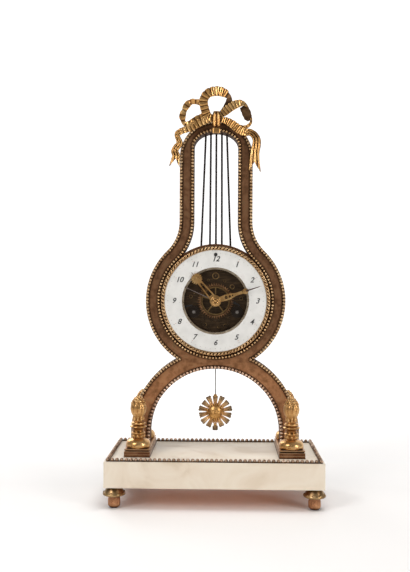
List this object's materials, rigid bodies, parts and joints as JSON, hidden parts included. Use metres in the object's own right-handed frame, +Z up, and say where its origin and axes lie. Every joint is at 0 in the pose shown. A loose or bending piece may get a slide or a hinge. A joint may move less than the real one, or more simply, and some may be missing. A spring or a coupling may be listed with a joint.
{
  "type": "lyre mantel clock",
  "caption": "Striking mantel clock with a lyre-shaped frame, open-centre enamel dial, ribbon bow and sunburst pendulum on a marble base with turned feet.",
  "frame": {"origin": "bottom centre of the bounding box, on the floor under the middle of the marble slab", "axes": "+Z up, the dial faces -Y, +X to the right seen from the front"},
  "size_m": [0.255, 0.125, 0.4924],
  "materials": {
    "white_marble": "polished",
    "gilt_bronze": "satin gilt",
    "brown_bronze": "satin brown patina",
    "white_enamel": "glossy",
    "dark_steel": "satin",
    "plate_brass": "brushed"
  },
  "bodies": {
    "clock_body": {"marble_base": "white_marble", "base_bead_border": "gilt_bronze", "foot_front_left": "gilt_bronze", "foot_front_right": "gilt_bronze", "foot_back_left": "gilt_bronze", "foot_back_right": "gilt_bronze", "plinth_left": "gilt_bronze", "plinth_right": "gilt_bronze", "finial_front_left": "gilt_bronze", "finial_front_right": "gilt_bronze", "finial_back_left": "gilt_bronze", "finial_back_right": "gilt_bronze", "plinth_bolts": "dark_steel", "lyre_frame": "brown_bronze", "outer_bead": "gilt_bronze", "inner_bead": "gilt_bronze", "arch_bead": "gilt_bronze", "ribbon_bow": "gilt_bronze", "ribbon_clasp": "gilt_bronze", "lyre_strings": "dark_steel", "dial_bezel": "gilt_bronze", "dial_plate": "plate_brass", "enamel_dial": "white_enamel", "dial_rim": "gilt_bronze", "dial_screw": "dark_steel", "front_plate": "plate_brass", "back_plate": "plate_brass", "plate_pillars": "plate_brass", "pillar_nuts": "dark_steel", "barrel_clicks": "dark_steel", "bell": "plate_brass", "bell_stand": "plate_brass", "suspension_cock": "plate_brass"},
    "minute_arbor": {"centre_wheel": "plate_brass", "cannon_pinion": "dark_steel", "minute_hand": "gilt_bronze", "hand_collet": "gilt_bronze"},
    "hour_pipe": {"hour_wheel": "plate_brass", "hour_hand": "gilt_bronze"},
    "date_pipe": {"date_hand": "dark_steel"},
    "minute_idler": {"minute_wheel": "plate_brass"},
    "second_arbor": {"second_wheel": "plate_brass"},
    "going_drum": {"going_barrel": "plate_brass", "going_mainspring": "dark_steel"},
    "third_arbor": {"third_wheel": "plate_brass"},
    "escape_arbor": {"escape_wheel": "plate_brass"},
    "count_arbor": {"strike_wheel": "plate_brass", "count_wheel": "plate_brass"},
    "strike_drum": {"strike_barrel": "plate_brass", "strike_mainspring": "dark_steel"},
    "pin_arbor": {"pin_wheel": "plate_brass"},
    "fly_arbor": {"fly": "plate_brass"},
    "going_winder": {"going_arbor": "dark_steel"},
    "strike_winder": {"strike_arbor": "dark_steel"},
    "pendulum": {"suspension_spring": "dark_steel", "pendulum_rod": "dark_steel", "pendulum_bob": "gilt_bronze"},
    "anchor_arbor": {"anchor": "dark_steel"},
    "rating": {"rating_nut": "gilt_bronze"},
    "hammer_arbor": {"hammer": "dark_steel"}
  },
  "joints": [
    {"name": "minute_turn", "type": "hinge", "parent": "clock_body", "child": "minute_arbor", "pos_m": [0, 0.018, 0.236], "axis": [0, 1, 0], "continuous": true},
    {"name": "hour_turn", "type": "hinge", "parent": "clock_body", "child": "hour_pipe", "pos_m": [0, 0.018, 0.236], "axis": [0, 1, 0], "continuous": true},
    {"name": "date_turn", "type": "hinge", "parent": "clock_body", "child": "date_pipe", "pos_m": [0, 0.018, 0.236], "axis": [0, 1, 0], "continuous": true},
    {"name": "minute_wheel_turn", "type": "hinge", "parent": "clock_body", "child": "minute_idler", "pos_m": [0, 0.018, 0.2135], "axis": [0, 1, 0], "continuous": true},
    {"name": "second_wheel_turn", "type": "hinge", "parent": "clock_body", "child": "second_arbor", "pos_m": [0.01869, 0.018, 0.24378], "axis": [0, 1, 0], "continuous": true},
    {"name": "going_barrel_turn", "type": "hinge", "parent": "clock_body", "child": "going_drum", "pos_m": [0.026, 0.018, 0.2225], "axis": [0, 1, 0], "continuous": true},
    {"name": "third_wheel_turn", "type": "hinge", "parent": "clock_body", "child": "third_arbor", "pos_m": [-0.0075, 0.018, 0.2528], "axis": [0, 1, 0], "continuous": true},
    {"name": "escape_wheel_turn", "type": "hinge", "parent": "clock_body", "child": "escape_arbor", "pos_m": [0, 0.018, 0.26625], "axis": [0, 1, 0], "continuous": true},
    {"name": "count_turn", "type": "hinge", "parent": "clock_body", "child": "count_arbor", "pos_m": [-0.026, 0.018, 0.245], "axis": [0, 1, 0], "continuous": true},
    {"name": "strike_barrel_turn", "type": "hinge", "parent": "clock_body", "child": "strike_drum", "pos_m": [-0.026, 0.018, 0.2225], "axis": [0, 1, 0], "continuous": true},
    {"name": "pin_wheel_turn", "type": "hinge", "parent": "clock_body", "child": "pin_arbor", "pos_m": [-0.02885, 0.018, 0.26115], "axis": [0, 1, 0], "continuous": true},
    {"name": "fly_turn", "type": "hinge", "parent": "clock_body", "child": "fly_arbor", "pos_m": [-0.0229, 0.018, 0.27146], "axis": [0, 1, 0], "continuous": true},
    {"name": "going_wind", "type": "hinge", "parent": "clock_body", "child": "going_winder", "pos_m": [0.026, 0.018, 0.2225], "axis": [0, 1, 0], "continuous": true},
    {"name": "strike_wind", "type": "hinge", "parent": "clock_body", "child": "strike_winder", "pos_m": [-0.026, 0.018, 0.2225], "axis": [0, 1, 0], "continuous": true},
    {"name": "pendulum_swing", "type": "hinge", "parent": "clock_body", "child": "pendulum", "pos_m": [0, 0.038, 0.279], "axis": [0, 1, 0], "range_deg": [-4.5, 4.5]},
    {"name": "anchor_rock", "type": "hinge", "parent": "clock_body", "child": "anchor_arbor", "pos_m": [0, 0.018, 0.279], "axis": [0, 1, 0], "range_deg": [-4.5, 4.5]},
    {"name": "rating_turn", "type": "hinge", "parent": "pendulum", "child": "rating", "pos_m": [0, 0.038, 0.077], "axis": [0, 0, 1], "continuous": true},
    {"name": "hammer_lift", "type": "hinge", "parent": "clock_body", "child": "hammer_arbor", "pos_m": [-0.042, 0.018, 0.25], "axis": [0, 1, 0], "range_deg": [-3, 14]}
  ],
  "couplings": [
    {"joint": "hour_turn", "follows": "minute_turn", "ratio": 0.083333},
    {"joint": "date_turn", "follows": "minute_turn", "ratio": 0.0013441},
    {"joint": "minute_wheel_turn", "follows": "minute_turn", "ratio": -0.33333},
    {"joint": "second_wheel_turn", "follows": "minute_turn", "ratio": -0.125},
    {"joint": "going_barrel_turn", "follows": "minute_turn", "ratio": 0.015625},
    {"joint": "third_wheel_turn", "follows": "minute_turn", "ratio": -10.5},
    {"joint": "escape_wheel_turn", "follows": "minute_turn", "ratio": 105},
    {"joint": "strike_barrel_turn", "follows": "count_turn", "ratio": -0.125},
    {"joint": "pin_wheel_turn", "follows": "count_turn", "ratio": -7.2},
    {"joint": "fly_turn", "follows": "count_turn", "ratio": 54},
    {"joint": "anchor_rock", "follows": "pendulum_swing", "ratio": 1}
  ]
}
